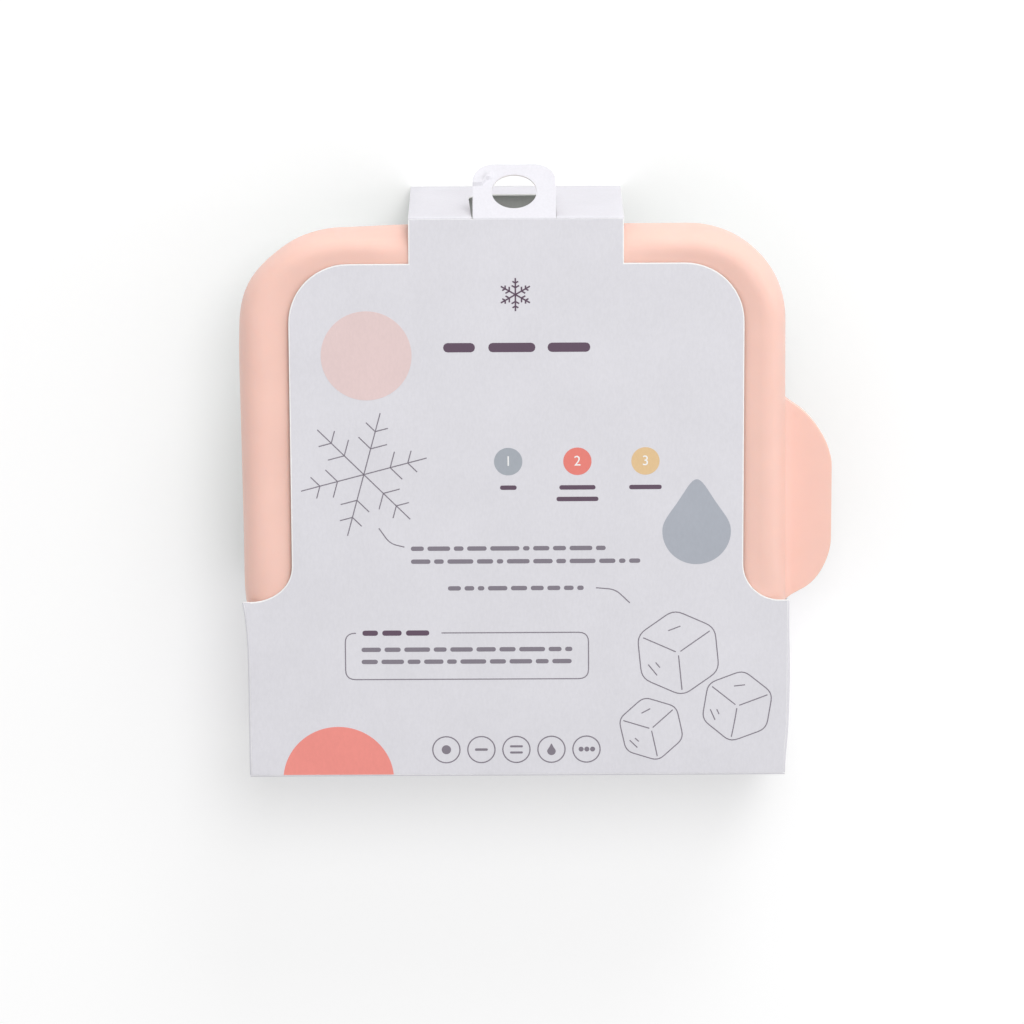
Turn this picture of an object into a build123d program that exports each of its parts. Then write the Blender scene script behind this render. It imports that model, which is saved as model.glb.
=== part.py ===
"""Silicone ice cube tray with its lid, in the printed card sleeve it is sold in.

Millimetres. +Z is up, with the lid on top. +Y points to the hang tab and +X to the lid's pull tab.
The origin is the middle of the sleeve's footprint, on the face it lies on.
"""
import os
from math import cos, radians, sin, tan

from build123d import *

# Lid: a soft moulding with a rounded raised border and a recessed middle
lid_width = 148.4
lid_length = 154.6
lid_corner_radius = 26.5
lid_wall = 2.0
lid_border_width = 14.0
lid_border_rise = 4.6
lid_outer_round = 9.5
lid_inner_round = 4.4
lid_recess_fillet = 1.2
lid_skirt_depth = 10.5
lid_hem_round = 0.6
lid_fit_gap = 0.3
lid_deck_gap = 0.5

# Pull tab: a flat tongue on the lid's right side, bending where it leaves the skirt
tab_root_length = 55.8
tab_tip_length = 40.0
tab_reach = 13.4
tab_thickness = 2.5
tab_tip_round = 18.0
tab_edge_round = 0.8
tab_root_gap = 0.15
tab_shift = 1.0

# Tray: a raised hollow rim round a recessed deck, with round cups under it
deck_thickness = 2.2
rim_height = 10.0
rim_inner_round = 1.5
cup_columns = 3
cup_rows = 3
cup_side_margin = 5.2
cup_end_margin = 8.3
cup_mouth_radius = 13.0
cup_mouth_round = 1.0
cup_depth = 36.7
cup_wall = 1.8
cup_draft = 3.0
cup_bottom_round = 8.0
floor_radius = 6.6
floor_gap = 0.1
tray_seat_gap = 0.1

# Stiffening frame: a flat ring pressed up into the groove under the rim
frame_width = 3.0
frame_height = 6.0
frame_gap = 0.1
frame_recess = 0.4

# Sleeve: one sheet of card, creased into a pocket with a narrow strap over the top
card = 0.5
crease_gap = 0.05
sleeve_side_slack = 0.7
sleeve_end_slack = 1.75
sleeve_lid_gap = 0.2
tray_offset_x = -0.3
tray_offset_y = -1.6
window_shift = -0.15
neck_width = 59.0
window_reveal = 11.6
shoulder_drop = 12.9
shoulder_radius = 16.5
pocket_height = 50.65
pocket_radius = 10.4
panel_foot_gap = 0.3

# Glue flaps: the back panel's upturned edges, stuck inside the walls
flap_height = 12.0
flap_end_margin = 3.0
glue_gap = 0.2

# Hang tab: cut out of the top panel and lifted, with a round hole for a display hook
hang_width = 22.8
hang_shift = -0.45
hang_length = 19.5
hang_corner_radius = 6.0
hang_hole_radius = 6.2
hang_hole_reach = 9.75
hang_lift = 37.0
hang_cut_gap = 0.3
hang_cut_extra = 14.7

# Every cut runs this far past the face it opens
overrun = 1.0

# Heights, from the resting face up
cup_bottom = card + tray_seat_gap
deck_top = cup_bottom + cup_wall + cup_depth
deck_under = deck_top - deck_thickness
lid_panel_under = deck_top + lid_deck_gap
lid_panel_top = lid_panel_under + lid_wall
lid_crown = lid_panel_top + lid_border_rise
lid_channel_top = lid_crown - lid_wall
lid_hem = lid_crown - lid_skirt_depth
rim_top = lid_channel_top - lid_fit_gap
rim_bottom = rim_top - rim_height
front_under = lid_crown + sleeve_lid_gap
front_top = front_under + card

# Inside faces of the sleeve's walls, and the edges of its windows
side_inner = lid_width / 2 + sleeve_side_slack
end_inner = lid_length / 2 + sleeve_end_slack
pocket_top = pocket_height - end_inner - card
shoulder_y = end_inner + card - shoulder_drop
window_panel_width = lid_width - 2 * window_reveal
hang_middle = window_shift + hang_shift

# Insets from the lid's outline
rim_outer_inset = lid_wall + lid_fit_gap
rim_inner_inset = lid_border_width - lid_wall - lid_fit_gap
groove_inset = (rim_outer_inset + rim_inner_inset) / 2

# The deck's inner corner is filleted just short of the lid's lower corner
deck_corner_fillet = lid_fit_gap + lid_deck_gap

# Line that the pull tab bends about, just off the lid's right side
tab_side = tray_offset_x + lid_width / 2
tab_hinge_x = tab_side + tab_root_gap + tab_thickness / 2
tab_hinge_y = tray_offset_y + tab_shift
tab_hinge_z = lid_hem + tab_thickness / 2


def save(shape, node):
    export_step(shape, f"parts/{node}.step")


def block(low_corner, high_corner):
    """A box between two corners."""
    size = [high - low for low, high in zip(low_corner, high_corner)]
    return Pos(*low_corner) * Box(*size, align=(Align.MIN, Align.MIN, Align.MIN))


def slab(inset, low, high):
    """The tray's rounded square, drawn in by an inset, between two heights."""
    outline = RectangleRounded(
        lid_width - 2 * inset, lid_length - 2 * inset, lid_corner_radius - inset
    )
    return extrude(Pos(tray_offset_x, tray_offset_y, low) * outline, high - low)


def edges_at(shape, height, inset):
    """The closed loop of edges at a height, no further out than an inset."""
    half_width = lid_width / 2 - inset + overrun
    half_length = lid_length / 2 - inset + overrun
    loop = ShapeList()
    for edge in shape.edges().filter_by_position(Axis.Z, height, height):
        box = edge.bounding_box()
        inside_x = max(box.max.X - tray_offset_x, tray_offset_x - box.min.X) < half_width
        inside_y = max(box.max.Y - tray_offset_y, tray_offset_y - box.min.Y) < half_length
        if inside_x and inside_y:
            loop.append(edge)
    return loop


def cup_places():
    """Plan centres of the cups, row by row from the sleeve's lower left."""
    column_pitch = (lid_width - 2 * cup_side_margin) / cup_columns
    row_pitch = (lid_length - 2 * cup_end_margin) / cup_rows
    places = []
    for row in range(cup_rows):
        for column in range(cup_columns):
            x = tray_offset_x + (column - (cup_columns - 1) / 2) * column_pitch
            y = tray_offset_y + (row - (cup_rows - 1) / 2) * row_pitch
            places.append((x, y))
    return places


def make_lid():
    body = slab(0, lid_hem, lid_crown)
    body = fillet(body.edges().group_by(Axis.Z)[-1], lid_outer_round)
    body -= slab(lid_border_width, lid_panel_top, lid_crown + overrun)
    body = fillet(edges_at(body, lid_panel_top, lid_border_width), lid_recess_fillet)
    body = fillet(edges_at(body, lid_crown, lid_border_width), lid_inner_round - lid_recess_fillet)
    channel = slab(lid_wall, lid_hem, lid_channel_top)
    channel = fillet(channel.edges().group_by(Axis.Z)[-1], lid_outer_round - lid_wall)
    channel -= slab(lid_border_width - lid_wall, lid_panel_under, lid_channel_top + overrun)
    body -= channel
    return fillet(body.edges().group_by(Axis.Z)[0], lid_hem_round)


def make_pull_tab():
    tip_x = tab_side + tab_reach
    root_half = tab_root_length / 2
    tip_half = tab_tip_length / 2
    outline = make_face(
        Polyline(
            (tab_hinge_x, -root_half), (tip_x, -tip_half), (tip_x, tip_half), (tab_hinge_x, root_half),
            close=True,
        )
    )
    tip_corners = outline.vertices().group_by(Axis.X)[-1]
    outline = fillet(tip_corners, tab_tip_round)
    tongue = extrude(Pos(0, tab_hinge_y, lid_hem) * outline, tab_thickness)
    faces = tongue.edges().group_by(Axis.Z)
    rims = [edge for edge in faces[0] + faces[-1] if edge.center().X > tab_hinge_x + tab_edge_round]
    tongue = fillet(rims, tab_edge_round)
    knuckle = Cylinder(tab_thickness / 2, tab_root_length, rotation=(90, 0, 0))
    return tongue + Pos(tab_hinge_x, tab_hinge_y, tab_hinge_z) * knuckle


def make_tray_deck():
    rim = slab(rim_outer_inset, rim_bottom, rim_top)
    rim = fillet(rim.edges().group_by(Axis.Z)[-1], lid_outer_round - rim_outer_inset)
    rim -= slab(rim_inner_inset, deck_top, rim_top + overrun)
    rim -= slab(rim_inner_inset, rim_bottom - overrun, deck_under)
    rim = fillet(edges_at(rim, rim_top, rim_inner_inset), rim_inner_round)
    rim = fillet(edges_at(rim, deck_top, rim_inner_inset), deck_corner_fillet)
    half_groove = frame_width / 2 + frame_gap
    groove_top = rim_bottom + frame_recess + frame_height + frame_gap
    groove = slab(groove_inset - half_groove, rim_bottom - overrun, groove_top)
    groove -= slab(groove_inset + half_groove, rim_bottom - overrun, groove_top)
    rim -= groove
    for x, y in cup_places():
        hole = Cylinder(cup_mouth_radius, deck_thickness + 2 * overrun)
        rim -= Pos(x, y, (deck_top + deck_under) / 2) * hole
    mouths = ShapeList(
        edge
        for edge in rim.edges().filter_by(GeomType.CIRCLE).filter_by_position(Axis.Z, deck_top, deck_top)
        if edge.is_closed
    )
    return fillet(mouths, cup_mouth_round)


def make_rim_frame():
    low = rim_bottom + frame_recess
    high = low + frame_height
    ring = slab(groove_inset - frame_width / 2, low, high)
    return ring - slab(groove_inset + frame_width / 2, low, high)


def cup_shell():
    """One whole cup about the Z axis, from the deck's underside to its closed bottom."""
    slope = tan(radians(cup_draft))

    def mouth_cone(wall, low, bottom_round):
        height = deck_under - low
        cone = Cone(cup_mouth_radius + wall - height * slope, cup_mouth_radius + wall, height)
        cone = Pos(0, 0, low + height / 2) * cone
        return fillet(cone.edges().group_by(Axis.Z)[0], bottom_round)

    outside = mouth_cone(cup_wall, cup_bottom, cup_bottom_round)
    inside = mouth_cone(0, cup_bottom + cup_wall, cup_bottom_round - cup_wall)
    return outside - inside


def make_cup():
    """A cup's wall, and the thin floor in its middle that a thumb pushes up."""
    shell = cup_shell()
    plug_height = 2 * cup_bottom_round

    def plug(radius):
        return Pos(0, 0, cup_bottom) * Cylinder(radius, plug_height)

    return shell - plug(floor_radius + floor_gap), shell & plug(floor_radius)


def sleeve_outline(half_width, low, high):
    """The front of the sleeve: a full-width pocket, a narrower window panel and a neck."""
    panel_left = window_shift - window_panel_width / 2
    panel_right = window_shift + window_panel_width / 2
    neck_left = window_shift - neck_width / 2
    neck_right = window_shift + neck_width / 2
    outline = make_face(
        Polyline(
            (-half_width, low), (half_width, low), (half_width, pocket_top),
            (panel_right, pocket_top), (panel_right, shoulder_y), (neck_right, shoulder_y),
            (neck_right, high), (neck_left, high), (neck_left, shoulder_y),
            (panel_left, shoulder_y), (panel_left, pocket_top), (-half_width, pocket_top),
            close=True,
        )
    )

    def corners(face, places):
        return [face.vertices().sort_by_distance(Vector(*place))[0] for place in places]

    shoulders = corners(outline, [(panel_left, shoulder_y), (panel_right, shoulder_y)])
    outline = fillet(shoulders, shoulder_radius)
    pocket_corners = corners(outline, [(panel_left, pocket_top), (panel_right, pocket_top)])
    return fillet(pocket_corners, pocket_radius)


def make_front_panel():
    outline = sleeve_outline(side_inner - crease_gap, crease_gap - end_inner, end_inner - crease_gap)
    return extrude(Pos(0, 0, front_under) * outline, card)


def make_back_panel():
    outline = sleeve_outline(side_inner - glue_gap, crease_gap - end_inner, end_inner - glue_gap)
    return extrude(outline, card)


def hang_outline(margin, extra):
    """The hang tab flat in the top panel, drawn from the crease down the -Y axis."""
    width = hang_width + 2 * margin
    length = hang_length + margin + extra
    outline = Pos(hang_middle, -length / 2) * Rectangle(width, length)
    return fillet(outline.vertices().group_by(Axis.Y)[0], hang_corner_radius + margin)


def hung_from_front_crease(outline, lift):
    """Card hanging from the front's top crease, swung out by an angle."""
    sheet = extrude(outline, card)
    return Pos(0, end_inner, front_under) * Rot(90 + lift, 0, 0) * Pos(0, 0, -card) * sheet


def make_top_panel():
    height = front_under - panel_foot_gap
    outline = Pos(window_shift, -height / 2) * Rectangle(neck_width, height)
    return hung_from_front_crease(outline - hang_outline(hang_cut_gap, hang_cut_extra), 0)


def make_hang_tab():
    hole = Pos(hang_middle, -hang_hole_reach) * Circle(hang_hole_radius)
    return hung_from_front_crease(hang_outline(0, 0) - hole, hang_lift)


def make_side_panel(side):
    """The pocket's wall on the right, side 1, or the left, side -1."""
    faces = sorted((side * side_inner, side * (side_inner + card)))
    return block(
        (faces[0], crease_gap - end_inner, panel_foot_gap), (faces[1], pocket_top, front_under)
    )


def make_side_flap(side):
    outer = side_inner - glue_gap
    faces = sorted((side * outer, side * (outer - card)))
    low = flap_end_margin - end_inner
    high = pocket_top - flap_end_margin
    return block((faces[0], low, card), (faces[1], high, card + flap_height))


def make_top_flap():
    outer = end_inner - glue_gap
    half = neck_width / 2 - flap_end_margin
    return block(
        (window_shift - half, outer - card, card), (window_shift + half, outer, card + flap_height)
    )


def make_bottom_panel():
    half = side_inner - crease_gap
    return block((-half, -end_inner - card, panel_foot_gap), (half, -end_inner, front_under))


os.makedirs("parts", exist_ok=True)

save(make_lid(), "lid")
save(make_pull_tab(), "lid_pull_tab")
save(make_tray_deck(), "tray_deck")
save(make_rim_frame(), "rim_frame")

wall, floor = make_cup()
for number, (x, y) in enumerate(cup_places(), start=1):
    save(Pos(x, y, 0) * wall, f"cup_wall_{number}")
    save(Pos(x, y, 0) * floor, f"cup_floor_{number}")

save(make_front_panel(), "front_panel")
save(make_top_panel(), "top_panel")
save(make_hang_tab(), "hang_tab")
save(make_bottom_panel(), "bottom_panel")
save(make_back_panel(), "back_panel")
save(make_top_flap(), "top_glue_flap")
for name, side in (("left", -1), ("right", 1)):
    save(make_side_panel(side), f"{name}_side_panel")
    save(make_side_flap(side), f"{name}_glue_flap")

# The values that the record repeats
hole_out = hang_hole_reach * sin(radians(hang_lift))
hole_down = hang_hole_reach * cos(radians(hang_lift))
print("hang hole at", hang_middle, round(end_inner + hole_out, 3), round(front_under - hole_down, 3))
print("crease at", end_inner, side_inner, front_under, "front face", front_top)
print("tab hinge at", tab_hinge_x, tab_hinge_y, tab_hinge_z)
print("deck", deck_top, "cup floor", cup_bottom + cup_wall, "lid underside", lid_panel_under)
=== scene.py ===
from math import cos, hypot, pi, radians, sin

import bpy
from mathutils import Matrix, Vector


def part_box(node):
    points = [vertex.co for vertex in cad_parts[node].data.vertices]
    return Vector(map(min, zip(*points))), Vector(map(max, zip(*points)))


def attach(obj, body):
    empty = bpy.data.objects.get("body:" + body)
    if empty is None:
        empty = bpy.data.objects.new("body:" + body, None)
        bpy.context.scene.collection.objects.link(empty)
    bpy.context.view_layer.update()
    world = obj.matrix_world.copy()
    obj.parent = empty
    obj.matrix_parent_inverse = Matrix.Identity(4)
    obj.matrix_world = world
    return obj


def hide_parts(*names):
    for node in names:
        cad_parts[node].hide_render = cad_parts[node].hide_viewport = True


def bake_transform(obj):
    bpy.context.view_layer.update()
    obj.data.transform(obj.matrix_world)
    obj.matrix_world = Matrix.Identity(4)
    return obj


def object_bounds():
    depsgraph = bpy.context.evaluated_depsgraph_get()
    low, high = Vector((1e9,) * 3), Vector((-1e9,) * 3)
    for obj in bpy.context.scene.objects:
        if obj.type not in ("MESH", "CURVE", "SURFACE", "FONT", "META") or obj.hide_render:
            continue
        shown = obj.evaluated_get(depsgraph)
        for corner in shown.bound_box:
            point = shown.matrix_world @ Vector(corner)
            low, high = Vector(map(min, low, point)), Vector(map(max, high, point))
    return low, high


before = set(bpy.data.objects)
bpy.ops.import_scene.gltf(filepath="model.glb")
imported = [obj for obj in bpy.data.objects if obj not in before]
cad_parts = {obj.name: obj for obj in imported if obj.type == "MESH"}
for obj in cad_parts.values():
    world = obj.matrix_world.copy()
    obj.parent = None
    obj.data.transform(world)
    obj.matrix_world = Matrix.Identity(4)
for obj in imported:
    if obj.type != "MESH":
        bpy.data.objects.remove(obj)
cadLow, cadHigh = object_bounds()
mm = 0.001

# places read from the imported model
frontLow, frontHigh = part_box("front_panel")
rightLow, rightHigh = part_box("right_side_panel")
bottomLow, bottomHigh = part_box("bottom_panel")
lidLow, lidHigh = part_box("lid")
tabLow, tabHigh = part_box("lid_pull_tab")
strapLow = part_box("top_panel")[0]
cardThick = frontHigh.z - frontLow.z
frontTop = frontHigh.z
sideX = rightLow.x             # the creases at the sides and at the ends
endY = strapLow.y
pocketTop = rightHigh.y
smoothAngle = radians(40)      # edges sharper than this stay crisp


# everyday moves

def deselectAll():
    bpy.ops.object.select_all(action="DESELECT")


def backToObject():
    bpy.ops.object.mode_set(mode="OBJECT")


def pickOnly(obj):
    if bpy.context.mode != "OBJECT":
        backToObject()
    deselectAll()
    obj.select_set(True)
    bpy.context.view_layer.objects.active = obj


def editSome(obj, kind, test):
    pickOnly(obj)
    bpy.ops.object.mode_set(mode="EDIT")
    bpy.ops.mesh.select_mode(type=kind)
    bpy.ops.mesh.select_all(action="DESELECT")
    backToObject()
    parts = {"VERT": obj.data.vertices, "EDGE": obj.data.edges, "FACE": obj.data.polygons}[kind]
    for part in parts:
        part.select = test(part)
    bpy.ops.object.mode_set(mode="EDIT")


def editAll(obj):
    editSome(obj, "FACE", lambda face: True)


def applyAll(obj):
    pickOnly(obj)
    for name in [modifier.name for modifier in obj.modifiers]:
        bpy.ops.object.modifier_apply(modifier=name)


def shadeSmooth(obj):
    pickOnly(obj)
    bpy.ops.object.shade_smooth_by_angle(angle=smoothAngle)


def faceOutward(sheet, outward):
    total = sum((face.normal * face.area for face in sheet.data.polygons), Vector())
    if total.dot(Vector(outward)) < 0:
        editAll(sheet)
        bpy.ops.mesh.flip_normals()
        backToObject()


def flatSheet(name, corners, rounds=(), roundSteps=14):
    # an n-gon through the corners, with some corners rounded: rounds holds (corner, radius)
    deselectAll()
    bpy.ops.mesh.primitive_circle_add(vertices=len(corners), radius=1, fill_type="NGON")
    sheet = bpy.context.object
    sheet.name = sheet.data.name = name
    for vertex, corner in zip(sheet.data.vertices, corners):
        vertex.co = (*corner, 0)
    for place, radius in rounds:
        spot = Vector((*place, 0))
        nearest = min(sheet.data.vertices, key=lambda v: (v.co - spot).length).index
        editSome(sheet, "VERT", lambda v: v.index == nearest)
        bpy.ops.mesh.bevel(offset=radius, affect="VERTICES", segments=roundSteps, profile=0.5)
        backToObject()
    editAll(sheet)
    bpy.ops.mesh.normals_make_consistent(inside=False)
    backToObject()
    faceOutward(sheet, (0, 0, 1))
    return sheet


def sliceAt(obj, places, normal):
    editAll(obj)
    for place in places:
        bpy.ops.mesh.select_all(action="SELECT")
        bpy.ops.mesh.bisect(plane_co=[place * axis for axis in normal], plane_no=normal)
    backToObject()


def ease(share):
    share = min(max(share, 0.0), 1.0)
    return share * share * (3 - 2 * share)


def fromTable(table, place):
    for (lowPlace, lowValue), (highPlace, highValue) in zip(table, table[1:]):
        if place <= highPlace:
            return lowValue + (highValue - lowValue) * max(0.0, place - lowPlace) / (highPlace - lowPlace)
    return table[-1][1]


def steps(low, high, count):
    return [low + (high - low) * (i + 1) / (count + 1) for i in range(count)]


def moveEach(obj, place):
    for vertex in obj.data.vertices:
        vertex.co = place(*vertex.co)
    obj.data.update()


def thicken(obj, thickness, rim=1, inside=2):
    # rim and inside are material slots
    solid = obj.modifiers.new("thickness", "SOLIDIFY")
    solid.thickness = thickness
    solid.offset = -1
    solid.use_even_offset = True
    solid.material_offset_rim = rim
    solid.material_offset = inside
    applyAll(obj)


def softenEdges(obj, width, segments=2, angle=50, edgeSlot=-1):
    bevel = obj.modifiers.new("soft edges", "BEVEL")
    bevel.width = width
    bevel.segments = segments
    bevel.limit_method = "ANGLE"
    bevel.angle_limit = radians(angle)
    bevel.use_clamp_overlap = True
    bevel.material = edgeSlot
    applyAll(obj)
    shadeSmooth(obj)


# finishes

def startMaterial(name):
    material = bpy.data.materials.new(name)
    material.use_nodes = True
    nodes = material.node_tree.nodes
    return material, nodes, material.node_tree.links, nodes["Principled BSDF"]


def addNoise(nodes, links, coordinates, scale, detail, roughness=0.55, stretch=None):
    noise = nodes.new("ShaderNodeTexNoise")
    noise.inputs["Scale"].default_value = scale
    noise.inputs["Detail"].default_value = detail
    noise.inputs["Roughness"].default_value = roughness
    source = coordinates.outputs["Object"]
    if stretch:
        mapping = nodes.new("ShaderNodeMapping")
        mapping.inputs["Scale"].default_value = stretch
        links.new(source, mapping.inputs["Vector"])
        source = mapping.outputs["Vector"]
    links.new(source, noise.inputs["Vector"])
    return noise


def addRamp(nodes, links, noise, stops, tints):
    ramp = nodes.new("ShaderNodeValToRGB")
    for element, position, tint in zip(ramp.color_ramp.elements, stops, tints):
        element.position = position
        element.color = (*tint, 1)
    links.new(noise.outputs["Fac"], ramp.inputs["Fac"])
    return ramp.outputs["Color"]


def scaleTo(nodes, links, value, low, high):
    span = nodes.new("ShaderNodeMapRange")
    span.inputs["To Min"].default_value = low
    span.inputs["To Max"].default_value = high
    links.new(value, span.inputs["Value"])
    return span.outputs["Result"]


def addBump(nodes, links, bsdf, layers):
    # layers: (noise, (strength, height)), stacked one on the other
    below = None
    for noise, (strength, height) in layers:
        bump = nodes.new("ShaderNodeBump")
        bump.inputs["Strength"].default_value = strength
        bump.inputs["Distance"].default_value = height
        links.new(noise.outputs["Fac"], bump.inputs["Height"])
        if below:
            links.new(below, bump.inputs["Normal"])
        below = bump.outputs["Normal"]
    links.new(below, bsdf.inputs["Normal"])


def tintRange(tint, spread):
    dark = [channel * (1 - spread) for channel in tint]
    light = [min(channel * (1 + spread), 1) for channel in tint]
    return dark, light


siliconeFinish = dict(
    lid=(0.925, 0.598, 0.515),
    tray=(0.50, 0.575, 0.535),
    cloud=0.025,               # how far the tint drifts
    cloudScale=45,
    cloudStops=(0.35, 0.65),
    pebbleScale=900,
    pebbleBump=(0.10, 0.04 * mm),  # strength and height
    grainScale=5200,
    grainBump=(0.16, 0.02 * mm),
    roughness=(0.40, 0.52),
    specular=0.25,
    bloomShare=0.18,           # how much of the light scatters inside
    bloom=(2.5 * mm, 1.6 * mm, 1.1 * mm),  # how far its red, green and blue go
    sheen=(0.06, 0.5),         # amount and roughness
)


def silicone(name, tint):
    look = siliconeFinish
    material, nodes, links, bsdf = startMaterial(name)
    coordinates = nodes.new("ShaderNodeTexCoord")
    cloud = addNoise(nodes, links, coordinates, look["cloudScale"], 3)
    grain = addNoise(nodes, links, coordinates, look["grainScale"], 2)
    pebble = addNoise(nodes, links, coordinates, look["pebbleScale"], 3)
    base = addRamp(nodes, links, cloud, look["cloudStops"], tintRange(tint, look["cloud"]))
    links.new(base, bsdf.inputs["Base Color"])
    rough = scaleTo(nodes, links, pebble.outputs["Fac"], *look["roughness"])
    links.new(rough, bsdf.inputs["Roughness"])
    bsdf.inputs["Specular IOR Level"].default_value = look["specular"]
    bsdf.inputs["Subsurface Weight"].default_value = look["bloomShare"]
    bsdf.inputs["Subsurface Radius"].default_value = look["bloom"]
    bsdf.inputs["Subsurface Scale"].default_value = 1.0
    bsdf.inputs["Sheen Weight"].default_value, bsdf.inputs["Sheen Roughness"].default_value = look["sheen"]
    addBump(nodes, links, bsdf, [(pebble, look["pebbleBump"]), (grain, look["grainBump"])])
    return material


paperFinish = dict(
    # tint, roughness and fibre bump of each sheet
    face=((0.748, 0.738, 0.782), 0.72, 0.22),
    # the edge card is whiter than both faces: raw card, partly brightened as a painted highlight on the cut
    # edges
    edge=((0.96, 0.96, 0.955), 0.85, 0.3),
    inside=((0.80, 0.795, 0.79), 0.8, 0.3),
    inked=(0.68, 0.2),         # the last two, where ink lies on the card
    mottle=0.018,              # how far the tint drifts
    mottleScale=60,
    mottleStops=(0.3, 0.7),
    fibre=0.04,                # how much darker the fibres are
    fibreScale=1500,
    fibreStretch=(1.0, 0.45, 1.0),
    fibreStops=(0.35, 0.65),
    fibreHeight=0.06 * mm,
    toothScale=4200,
    toothBump=(0.12, 0.03 * mm),
    roughSpread=(0.06, 0.08),  # smoother and rougher than a sheet's mean
    specular=0.25,
)


def paper(name, tint, rough, fibreBump):
    look = paperFinish
    material, nodes, links, bsdf = startMaterial(name)
    coordinates = nodes.new("ShaderNodeTexCoord")
    mottle = addNoise(nodes, links, coordinates, look["mottleScale"], 3)
    fibre = addNoise(nodes, links, coordinates, look["fibreScale"], 5, 0.62, look["fibreStretch"])
    tooth = addNoise(nodes, links, coordinates, look["toothScale"], 3)
    base = addRamp(nodes, links, mottle, look["mottleStops"], tintRange(tint, look["mottle"]))
    shade = addRamp(nodes, links, fibre, look["fibreStops"], ([1 - look["fibre"]] * 3, [1.0] * 3))
    weave = nodes.new("ShaderNodeMix")
    weave.data_type = "RGBA"
    weave.blend_type = "MULTIPLY"
    weave.inputs["Factor"].default_value = 1.0
    links.new(base, weave.inputs[6])       # the node's colour sockets go by number
    links.new(shade, weave.inputs[7])
    links.new(weave.outputs[2], bsdf.inputs["Base Color"])
    less, more = look["roughSpread"]
    roughness = scaleTo(nodes, links, fibre.outputs["Fac"], rough - less, rough + more)
    links.new(roughness, bsdf.inputs["Roughness"])
    bsdf.inputs["Specular IOR Level"].default_value = look["specular"]
    addBump(nodes, links, bsdf, [(fibre, (fibreBump, look["fibreHeight"])), (tooth, look["toothBump"])])
    return material


plasticFinish = dict(
    tints=((0.70, 0.70, 0.69), (0.78, 0.78, 0.77)),
    grainScale=1800,
    grainStops=(0.3, 0.7),
    grainBump=(0.15, 0.03 * mm),
    roughness=(0.45, 0.6),
)


def plastic(name):
    look = plasticFinish
    material, nodes, links, bsdf = startMaterial(name)
    coordinates = nodes.new("ShaderNodeTexCoord")
    grain = addNoise(nodes, links, coordinates, look["grainScale"], 3)
    base = addRamp(nodes, links, grain, look["grainStops"], look["tints"])
    links.new(base, bsdf.inputs["Base Color"])
    rough = scaleTo(nodes, links, grain.outputs["Fac"], *look["roughness"])
    links.new(rough, bsdf.inputs["Roughness"])
    addBump(nodes, links, bsdf, [(grain, look["grainBump"])])
    return material


lidSilicone = silicone("lidSilicone", siliconeFinish["lid"])
traySilicone = silicone("traySilicone", siliconeFinish["tray"])
cardFace = paper("cardFace", *paperFinish["face"])
# cut edges: raw card made whiter than the faces, partly a painted highlight
cardEdgeAndHighlight = paper("cardEdgeAndHighlight", *paperFinish["edge"])
cardInside = paper("cardInside", *paperFinish["inside"])
framePlastic = plastic("framePlastic")


def dress(obj, *materials):
    obj.data.materials.clear()
    for material in materials:
        obj.data.materials.append(material)


for node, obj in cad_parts.items():
    if node.startswith("lid"):
        dress(obj, lidSilicone)
    elif node.startswith(("tray", "cup")):
        dress(obj, traySilicone)
    elif node == "rim_frame":
        dress(obj, framePlastic)
    else:
        dress(obj, cardInside if node.endswith("flap") else cardFace)
print("finishes made and put on the packed pieces")


# the card sleeve

sleeveCard = dict(
    windowShift=-0.15 * mm,
    panelHalf=62.6 * mm,
    neckHalf=29.5 * mm,
    shoulderDrop=12.9 * mm,
    shoulderRound=16.5 * mm,
    pocketRound=10.4 * mm,
    bow=0.3 * mm,              # how far the front swells over the lid
    edgeLift=0.12 * mm,        # how far the free left edge curls up
    edgeLiftReach=11 * mm,
    edgeLiftFade=14 * mm,      # it grows over this length from the edge's ends
    foldRound=0.55 * mm,
    foldReach=1.2 * mm,        # a crease bends over this height
    creaseInset=0.05 * mm,     # a wall starts this far inside its crease
    flare=1.5 * mm,            # how far the pocket's left corner stands out
    flareLength=22 * mm,
    flareFade=9 * mm,          # it dies out this far up the window's corner
    tuck=0.9 * mm,             # how far the bottom right corner is pushed in
    tuckLength=16 * mm,
    # a wall's free end slants back by the first, over the second down
    endSlope={"left": (3.2 * mm, 8.5 * mm), "right": (5.0 * mm, 8.5 * mm)},
    belly={"left": 0.3 * mm, "right": 1.2 * mm, "bottom": 0.5 * mm},
    bottomWrap=0.45 * mm,      # the bottom panel covers the walls' ends
    cutEdge=0.22 * mm,
    paintedHighlightRim=0.3 * mm,          # a strip of whiter card beside a cut: a painted highlight for the light the cut edge catches
    creaseKeep=1.0 * mm,       # the print runs on this near to a crease
    frontSlices=22,
    edgeSlices=8,
    foldSlices=4,
    wallSlices=10,
    endSlices=14,
)
panelLeft = sleeveCard["windowShift"] - sleeveCard["panelHalf"]
panelRight = sleeveCard["windowShift"] + sleeveCard["panelHalf"]
neckLeft = sleeveCard["windowShift"] - sleeveCard["neckHalf"]
neckRight = sleeveCard["windowShift"] + sleeveCard["neckHalf"]
shoulderY = endY + cardThick - sleeveCard["shoulderDrop"]
arcLoss = sleeveCard["foldRound"] * (pi / 2 - 1)  # what a panel needs more to get round its crease


def bowAt(x, y):
    across = max(0.0, 1 - (x / sideX) ** 2)
    along = max(0.0, 1 - (y / endY) ** 2)
    nearEdge = ease(1 - (x - panelLeft) / sleeveCard["edgeLiftReach"])
    fade = sleeveCard["edgeLiftFade"]
    free = ease((y - pocketTop) / fade) * ease((shoulderY - y) / fade)
    return sleeveCard["bow"] * across * along + sleeveCard["edgeLift"] * nearEdge * free


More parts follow.
